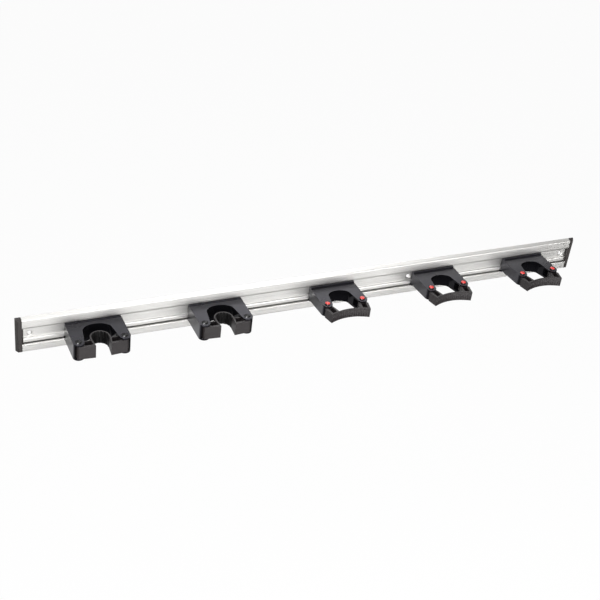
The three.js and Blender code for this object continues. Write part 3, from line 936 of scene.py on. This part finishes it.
def clip_pin(side):
    x, y = side * CLIP["pin_x"], CLIP["pin_y"]
    low = CLIP["top"] - SEAT_DEPTH + CLEAR
    high = low + CLIP_HEAD_HEIGHT
    profile = [
        (PIN_RADIUS, CLIP["bottom_front"] + PIN_SET_IN),
        (PIN_RADIUS, low),
        (CLIP_HEAD_RADIUS, low),
        (CLIP_HEAD_RADIUS, high),
        (KEY_RING_OUTER + KEY_RING_DRAFT, high),
        (KEY_RING_OUTER, high + KEY_RING_HEIGHT),
        (KEY_RING_INNER, high + KEY_RING_HEIGHT),
        (KEY_RING_INNER - KEY_RING_DRAFT, high),
        (CORE, high),
    ]
    disc = turned("disc", profile, x, y)
    far, above = CLIP_HEAD_RADIUS + OVERSHOOT, high + KEY_RING_HEIGHT + OVERSHOOT
    notch_round(disc, x, y, KEY_SLOT_START, far, KEY_SLOT, high, above, KEY_SLOT_TURN, KEY_SLOTS)
    soften(disc, CLIP_PIN_ROUND)
    return disc


clip_pins = pair(clip_pin)
print("a clip pin has", len(clip_pins["left"].data.polygons), "faces")

# %% Snap pins
SNAP_HEAD_RADIUS = 4.2
SNAP_HEAD_HEIGHT = 2.6
CAP_INSET = 0.5
CAP_EDGE = 0.35
CAP_CROWN = ((0.9, 0.5), (0.72, 0.22), (0.4, 0.06), (0.05, 0))
SKIRT_HEIGHT = 1.3
SKIRT_DRAFT = 0.3
PIN_TIP = 0.2
SNAP_PIN_ROUND = 0.12
NOTCH_COUNT = 6
NOTCH_WIDTH = 1.5
NOTCH_FLOOR = 3.0
NOTCH_TURN = math.radians(32)


def snap_cap(side):
    x, y = side * BAND["pin_x"], BAND["pin_y"]
    low = BAND["top"] + CLEAR + SKIRT_HEIGHT
    high = BAND["top"] + CLEAR + SNAP_HEAD_HEIGHT
    reach = SNAP_HEAD_RADIUS - CAP_INSET
    profile = [(CORE, low), (reach, low), (reach, low + CAP_EDGE)]
    profile += [(share * reach, high - drop) for share, drop in CAP_CROWN]
    cap = turned("cap", profile, x, y)
    soften(cap, SNAP_PIN_ROUND)
    return cap


def snap_skirt(side):
    x, y = side * BAND["pin_x"], BAND["pin_y"]
    low = BAND["bottom_front"] + PIN_SET_IN
    head = BAND["top"] + CLEAR
    reach = SNAP_HEAD_RADIUS
    profile = [
        (PIN_RADIUS - PIN_TIP, low),
        (PIN_RADIUS, low + PIN_TIP),
        (PIN_RADIUS, head),
        (reach, head),
        (reach - SKIRT_DRAFT, head + SKIRT_HEIGHT),
        (CORE, head + SKIRT_HEIGHT),
    ]
    skirt = turned("skirt", profile, x, y)
    far, below, above = reach + OVERSHOOT, head - OVERSHOOT, head + SKIRT_HEIGHT + OVERSHOOT
    notch_round(skirt, x, y, NOTCH_FLOOR, far, NOTCH_WIDTH, below, above, NOTCH_TURN, NOTCH_COUNT)
    soften(skirt, SNAP_PIN_ROUND)
    return skirt


snap_caps = pair(snap_cap)
snap_skirts = pair(snap_skirt)
print("a snap pin has", len(snap_skirts["left"].data.polygons), "faces under its cap")

# %% [markdown]
# The open rubber clip
#
# One soft moulding is held by both pins: a cheek on each side with a pocket that lets it give, and a thin
# arch behind the handle. The cheeks turn on the pins, and the arch bends between them. Cheeks and halves have
# some spare length and are cut flat where they meet, so that no seam shows.

# %% Clip rubber sizes
RUBBER_ROUND = 0.45
SPARE = 1.0
SPARE_STEPS = 1.5
RING_RADIUS = 12.2
RING_WALL = 2.3
RING_CENTRE = CLIP["pin_y"] + 9.8
MOUTH_HALF = 11.0
CLIP_FRONT = CLIP["pin_y"] - 10.5
FRONT_WALL = 4.2
FRONT_SWEEP = 1.6
CORNER_ROUND = 4.0
CORNER_STEPS = 12
CHEEK_INSET = 1.6
WEB = 1.7
WEB_ANGLE = math.radians(128)
LUG_CHEEK = 2.0
WEB_BACK = CLIP["pin_y"] + CLIP["lug"] * math.sin(WEB_ANGLE)
WALL_BACK = WEB_BACK + WEB
CLIP_LOW = CLIP["slot_low"] + CLEAR
CLIP_HIGH = CLIP["slot_high"] - CLEAR
print("the clip's ring is", 2 * RING_RADIUS, "mm wide inside")


# %% Cheeks of the clip
def clip_cheek(side):
    x, y, lug = CLIP["pin_x"], CLIP["pin_y"], CLIP["lug"]
    outer = x + lug
    wall = RING_RADIUS + RING_WALL
    corner_y = CLIP_FRONT + FRONT_SWEEP + CORNER_ROUND
    corner_x = outer - CHEEK_INSET - CORNER_ROUND
    outline = [
        (MOUTH_HALF, CLIP_FRONT),
        *arc(corner_x, corner_y, CORNER_ROUND, CORNER_ROUND, -QUARTER, 0, CORNER_STEPS),
        *arc(x, y, lug, lug, 0, WEB_ANGLE),
        (wall, WEB_BACK),
        (wall, WALL_BACK + SPARE),
        (RING_RADIUS, WALL_BACK + SPARE),
        (RING_RADIUS, WALL_BACK),
    ]
    inner = x - lug - LUG_CHEEK
    front = CLIP_FRONT + FRONT_WALL
    back = WEB_BACK - WEB
    pocket = [(wall, back), (inner, back), (inner, front), (MOUTH_HALF + RING_WALL, front)]
    below, above = CLIP_LOW - OVERSHOOT, CLIP_HIGH + OVERSHOOT
    form = prism("cheek", mirrored(outline, side), CLIP_LOW, CLIP_HIGH)
    shape(form, prism("pocket", mirrored(pocket, side), below, above), "DIFFERENCE")
    shape(form, round_bar("hole", side * x, y, PIN_RADIUS + CLEAR, below, above), "DIFFERENCE")
    soften(form, RUBBER_ROUND, cuts=[((0, WALL_BACK), (0, 1))])
    return form


clip_cheeks = pair(clip_cheek)
print("a cheek has", len(clip_cheeks["left"].data.polygons), "faces")

# %% Half of the arch, with its grip ribs
ARCH_RIBS = 4
GRIP_RIB_RADIUS = 1.1
GRIP_RIB_SUNK = 0.55
GRIP_RIB_SHORTER = 0.3
FIRST_RIB_ANGLE = 0.1
LAST_RIB_ANGLE = QUARTER - 0.2
# How far past the ring's inner face the faces are marked for painted shade.
SHADE_MARK_DEPTH = 0.2


def clip_arch_half(side):
    outside = RING_RADIUS + RING_WALL
    past = QUARTER * ARC_STEPS / (ARC_STEPS - SPARE_STEPS)
    end = WALL_BACK - SPARE
    outline = [
        (outside, end),
        *arc(0, RING_CENTRE, outside, outside, 0, past),
        *arc(0, RING_CENTRE, RING_RADIUS, RING_RADIUS, past, 0),
        (RING_RADIUS, end),
    ]
    form = prism("arch", mirrored(outline, side), CLIP_LOW, CLIP_HIGH)
    soften(form, RUBBER_ROUND, cuts=[((0, WALL_BACK), (0, -1)), ((0, 0), (-side, 0))])
    reach = RING_RADIUS + GRIP_RIB_SUNK
    path = mirrored(arc(0, RING_CENTRE, reach, reach, FIRST_RIB_ANGLE, LAST_RIB_ANGLE), side)
    low, high = CLIP_LOW + GRIP_RIB_SHORTER, CLIP_HIGH - GRIP_RIB_SHORTER
    rows = ribs("grip_ribs", path, low, high, ARCH_RIBS, GRIP_RIB_RADIUS, RUBBER)
    half = joined("arch_half", [form, rows])
    # The arch's inner faces are marked to take the painted-shade rubber.
    shade_reach = RING_RADIUS + SHADE_MARK_DEPTH
    mark_painted_shade(half, lambda spot: math.hypot(spot.x, max(spot.y - RING_CENTRE, 0)) < shade_reach)
    return half


clip_arches = pair(clip_arch_half)
print("half an arch has", len(clip_arches["left"].data.polygons), "faces")

# %% [markdown]
# The closed rubber front
#
# The narrow holders close their front with one soft moulding: a hollow corner block in front of each arm
# and a thin band between them, bowed inwards, with upright ribs that grip the handle. The blocks turn on
# the pins and roll inwards, so the band bends from both ends, and its two halves are made like those of
# the arch.

# %% Band rubber sizes
FRONT_HALF = 32.0
FRONT_PAST_PIN = 25.6
FRONT_HOLLOW = 7.4
BAND_WALL = 2.0
BAND_ROOT = 18.0
BLOCK_WALL = 2.8
BLOCK_BACK_HALF = 35.7
GROOVE = 1.7
BLOCK_HIGH = BAND["top"] - 2.2
BLOCK_LOW = BAND["bottom_front"]
BLOCK_LUG_ANGLE = math.radians(165)
ARM_CLEARANCE = 1.0
HOLLOW_RADIUS = (FRONT_HALF ** 2 + FRONT_HOLLOW ** 2) / (2 * FRONT_HOLLOW)
HOLLOW_CENTRE = BAND["pin_y"] - FRONT_PAST_PIN + FRONT_HOLLOW - HOLLOW_RADIUS


def hollow(start, end, back, steps=ARC_STEPS):
    spots = [start + (end - start) * i / steps for i in range(steps + 1)]
    return [(x, HOLLOW_CENTRE + math.sqrt(HOLLOW_RADIUS ** 2 - x * x) + back) for x in spots]


print("the band is bowed with a radius of", round(HOLLOW_RADIUS, 1), "mm")

# %% Corner blocks
BAND_RIB_RADIUS = 0.9
BAND_RIB_SUNK = 0.5
BAND_RIB_SHORTER = 0.4
BAND_RIB_LOW = BLOCK_LOW + BAND_RIB_SHORTER
BAND_RIB_HIGH = BLOCK_HIGH - BAND_RIB_SHORTER
RIB_TO_SEAM = 1.8
RIB_TO_EDGE = 1.4
BLOCK_RIBS = 4
FACE_STEPS = 10
WELL_STEPS = 6
WELL_MARGIN = 1.5 * BLOCK_WALL


def corner_block(side):
    x, y, lug, arm = BAND["pin_x"], BAND["pin_y"], BAND["lug"], BAND["arm"]
    back = y - arm + ARM_CLEARANCE
    root = BAND_ROOT - SPARE
    outline = [
        *hollow(root, FRONT_HALF, 0, steps=FACE_STEPS),
        (BLOCK_BACK_HALF, back - GROOVE),
        (BLOCK_BACK_HALF - GROOVE, back - GROOVE),
        (BLOCK_BACK_HALF - GROOVE, back),
        (x + lug, back),
        *arc(x, y, lug, lug, 0, BLOCK_LUG_ANGLE),
        *hollow(BAND_ROOT, root, BAND_WALL, steps=1),
    ]
    pocket_back = y - lug - BLOCK_WALL
    pocket = [
        *hollow(BAND_ROOT + WELL_MARGIN, FRONT_HALF - BLOCK_WALL, BLOCK_WALL, steps=WELL_STEPS),
        (BLOCK_BACK_HALF - WELL_MARGIN, pocket_back),
        (BAND_ROOT + 2 * BLOCK_WALL, pocket_back),
    ]
    form = prism("block", mirrored(outline, side), BLOCK_LOW, BLOCK_HIGH)
    below, above = BLOCK_LOW - OVERSHOOT, BLOCK_HIGH + OVERSHOOT
    shape(form, round_bar("arm_room", side * x, y, arm + ARM_CLEARANCE, below, above), "DIFFERENCE")
    tongue = prism("tongue", mirrored(outline, side), BAND["slot_low"] + CLEAR, BAND["slot_high"] - CLEAR)
    shape(form, tongue, "UNION")
    shape(form, prism("well", mirrored(pocket, side), below, above), "DIFFERENCE")
    shape(form, round_bar("hole", side * x, y, PIN_RADIUS + CLEAR, below, above), "DIFFERENCE")
    soften(form, RUBBER_ROUND, cuts=[((side * BAND_ROOT, 0), (-side, 0))])
    path = mirrored(hollow(BAND_ROOT + RIB_TO_SEAM, FRONT_HALF - RIB_TO_EDGE, BAND_RIB_SUNK), side)
    rows = ribs("block_ribs", path, BAND_RIB_LOW, BAND_RIB_HIGH, BLOCK_RIBS, BAND_RIB_RADIUS, RUBBER)
    return joined("block", [form, rows])


corner_blocks = pair(corner_block)
print("a corner block has", len(corner_blocks["left"].data.polygons), "faces")

# %% Halves of the band
HALF_BAND_RIBS = 5


def band_half(side):
    reach = BAND_ROOT + SPARE
    past = SPARE_STEPS * reach / (ARC_STEPS - SPARE_STEPS)
    outline = hollow(-past, reach, 0) + hollow(reach, -past, BAND_WALL)
    form = prism("band", mirrored(outline, side), BLOCK_LOW, BLOCK_HIGH)
    soften(form, RUBBER_ROUND, cuts=[((side * BAND_ROOT, 0), (side, 0)), ((0, 0), (-side, 0))])
    path = mirrored(hollow(RIB_TO_SEAM, BAND_ROOT - RIB_TO_SEAM, BAND_RIB_SUNK), side)
    rows = ribs("band_ribs", path, BAND_RIB_LOW, BAND_RIB_HIGH, HALF_BAND_RIBS, BAND_RIB_RADIUS, RUBBER)
    return joined("band_half", [form, rows])


band_halves = pair(band_half)
print("half a band has", len(band_halves["left"].data.polygons), "faces")

# %% [markdown]
# Setting the holders on the rail
#
# Every finished piece is copied to its holder's place, which is read from the frame. Bodies and pins ride on
# the holder, cheeks and blocks on their own jaw, and the thin halves stay where they are placed, linked to no
# body.


# %% Place all holders
def place_holder(number):
    body = f"holder_{number}"
    is_clip = f"{body}_grip_arch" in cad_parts
    low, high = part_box(f"{body}_body")
    x = (low[0] + high[0]) / 2 / MM
    form = clip_body if is_clip else band_body
    node = f"{body}_body"
    # The wall round the handle takes the second material, which paints shade on it.
    finished(form, f"{body}_moulding", BLACK_PLASTIC, body, [node], x, SHADED_WALL_PLASTIC)
    thin_node = f"{body}_grip_arch" if is_clip else f"{body}_front_band"
    for word, side in SIDES:
        pin = clip_pins[word] if is_clip else snap_caps[word]
        colour = PIN_PLASTIC if is_clip else RED_PLASTIC
        pin_node = f"{body}_pin_{word}"
        finished(pin, f"{pin_node}_turned", colour, body, [pin_node], x)
        if not is_clip:
            skirt = snap_skirts[word]
            finished(skirt, f"{pin_node}_skirt", PIN_PLASTIC, body, [pin_node], x)
        jaw = f"jaw_{number}_{word}"
        jaw_node = f"{body}_jaw_{word}"
        cheek = clip_cheeks[word] if is_clip else corner_blocks[word]
        finished(cheek, f"{jaw_node}_rubber", RUBBER, jaw, [jaw_node], x)
        half = clip_arches[word] if is_clip else band_halves[word]
        # The inside of the clip's arch takes the second rubber, which paints shade on it.
        inner = PAINTED_SHADE_RUBBER if is_clip else None
        thin = finished(half, f"{thin_node}_{word}", RUBBER, None, [thin_node], x, inner)
        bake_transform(thin)
    print(body, "placed at", round(x, 1), "mm")


HOLDERS = 5
for number in range(1, HOLDERS + 1):
    place_holder(number)
for kit in (clip_pins, snap_caps, snap_skirts, clip_cheeks, clip_arches, corner_blocks, band_halves):
    for pattern in kit.values():
        bpy.data.objects.remove(pattern)
for pattern in (clip_body, band_body):
    bpy.data.objects.remove(pattern)

# %% [markdown]
# Floor and light
#
# The photograph is a studio shot on white: a bright wall behind and above, and a darker room on the camera's
# side, which is why the metal is white on top and greyer in front, and the hollows of the holders go black.
# Painted shade on the wall round each handle and inside the clip's arch adds to that black. A pale floor lies
# well below the rack. It and the world are plain white to the camera. To a mirror-like surface they are white
# behind and fade towards the front, and the floor keeps a little of its own shading, so the rack's shadow
# still falls on it. Four large lamps shape the rest: a key from the upper left, one behind for the top of the
# rail, a long low one for the fronts, and a fill from the right.

# %% What the camera and the mirrors see
FLOOR_DROP = 0.8
FLOOR_GLOW = 0.95
FRONT_MIRROR = 0.05


def white_to(tree, mirror):
    rays = add(tree, "ShaderNodeLightPath").outputs
    seen = add(
        tree, "ShaderNodeMath", {"operation": "MAXIMUM"},
        _0=rays["Is Camera Ray"], _1=rays["Is Transmission Ray"],
    ).outputs["Value"]
    shown = add(
        tree, "ShaderNodeMath", {"operation": "MULTIPLY"}, _0=rays["Is Glossy Ray"], _1=mirror,
    ).outputs["Value"]
    level = add(tree, "ShaderNodeMath", {"operation": "MAXIMUM"}, _0=seen, _1=shown).outputs["Value"]
    either = add(
        tree, "ShaderNodeMath", {"operation": "MAXIMUM"}, _0=seen, _1=rays["Is Glossy Ray"],
    ).outputs["Value"]
    return level, either


print("the front of the room mirrors at", FRONT_MIRROR, "of white")

# %% Floor
FADE_FRONT = 0.1
FADE_BACK = 0.6
FLOOR_HALF = 6.0
FLOOR_COLOUR = "#F4F4F3"
FLOOR_ROUGHNESS = 0.9
WHITE = "#FFFFFF"


def pale_floor():
    material, tree, shader = new_material("pale_floor")
    shader.inputs["Base Color"].default_value = linear(FLOOR_COLOUR)
    shader.inputs["Roughness"].default_value = FLOOR_ROUGHNESS
    place = add(tree, "ShaderNodeTexCoord").outputs["Object"]
    depth = add(tree, "ShaderNodeSeparateXYZ", Vector=place).outputs["Y"]
    fade = add(
        tree, "ShaderNodeMapRange", {"interpolation_type": "SMOOTHSTEP"},
        Value=depth, From_Min=FADE_FRONT, From_Max=FADE_BACK, To_Min=FRONT_MIRROR, To_Max=1.0,
    ).outputs["Result"]
    level, either = white_to(tree, fade)
    share = add(tree, "ShaderNodeMath", {"operation": "MULTIPLY"}, _0=either, _1=FLOOR_GLOW)
    glow = add(tree, "ShaderNodeEmission", Color=linear(WHITE), Strength=level)
    mixed = add(
        tree, "ShaderNodeMixShader",
        _0=share.outputs["Value"], _1=shader.outputs["BSDF"], _2=glow.outputs["Emission"],
    )
    tree.links.new(mixed.outputs["Shader"], tree.nodes["Material Output"].inputs["Surface"])
    return material


floor_mesh = bpy.data.meshes.new("floor")
square = rectangle(-FLOOR_HALF, -FLOOR_HALF, FLOOR_HALF, FLOOR_HALF)
corners = [(x, y, -FLOOR_DROP) for x, y in square]
floor_mesh.from_pydata(corners, [], [(0, 1, 2, 3)])
floor_mesh.materials.append(pale_floor())
floor = mesh_object("floor", floor_mesh)
print("floor lies", FLOOR_DROP, "m below the rack's middle")


# %% Lamps
# Each lamp has a name, a place and a target in metres, a width and a height in metres, and a power in watts.
LAMPS = (
    ("key", (-0.9, -0.5, 1.2), (0, 0, 0), 0.6, 0.6, 17),
    ("behind", (0.45, 0.75, 1.2), (0, 0, 0), 0.7, 0.6, 6.5),
    ("front", (-0.1, -1.3, -0.24), (-0.05, 0, 0), 2.6, 0.3, 24),
    ("fill", (0.6, -1.3, 0.45), (0.15, 0, 0), 1.6, 0.5, 10),
)


def soft_lamp(name, place, target, width, height, power):
    lamp = bpy.data.lights.new(name, "AREA")
    lamp.shape = "RECTANGLE"
    lamp.size = width
    lamp.size_y = height
    lamp.energy = power
    holder = bpy.data.objects.new(name, lamp)
    holder.location = place
    holder.visible_camera = False
    holder.rotation_euler = (Vector(target) - Vector(place)).to_track_quat("-Z", "Y").to_euler()
    bpy.context.collection.objects.link(holder)


for lamp_row in LAMPS:
    soft_lamp(*lamp_row)
print("lamps:", [lamp_row[0] for lamp_row in LAMPS])

# %% World
BRIGHT_SIDE = (-0.5, 0.6, 0.62)
FADE_LOW = 0.3
FADE_HIGH = 0.46
FILL = 0.3
SKY_COLOUR = "#FCFCFC"

world = bpy.data.worlds.new("studio")
bpy.context.scene.world = world
world.use_nodes = True
sky = world.node_tree
background = sky.nodes["Background"]
background.inputs["Color"].default_value = linear(SKY_COLOUR)
heading = add(sky, "ShaderNodeTexCoord").outputs["Generated"]
towards = add(sky, "ShaderNodeVectorMath", {"operation": "DOT_PRODUCT"}, _0=heading, _1=BRIGHT_SIDE)
mirror = add(
    sky, "ShaderNodeMapRange", {"interpolation_type": "SMOOTHSTEP"},
    Value=towards.outputs["Value"], From_Min=FADE_LOW, From_Max=FADE_HIGH,
    To_Min=FRONT_MIRROR, To_Max=1.0,
).outputs["Result"]
level = white_to(sky, mirror)[0]
strength = add(sky, "ShaderNodeMath", {"operation": "MAXIMUM"}, _0=level, _1=FILL)
sky.links.new(strength.outputs["Value"], background.inputs["Strength"])
bpy.context.scene.view_settings.view_transform = "Standard"
print("world set, its fill is", FILL)
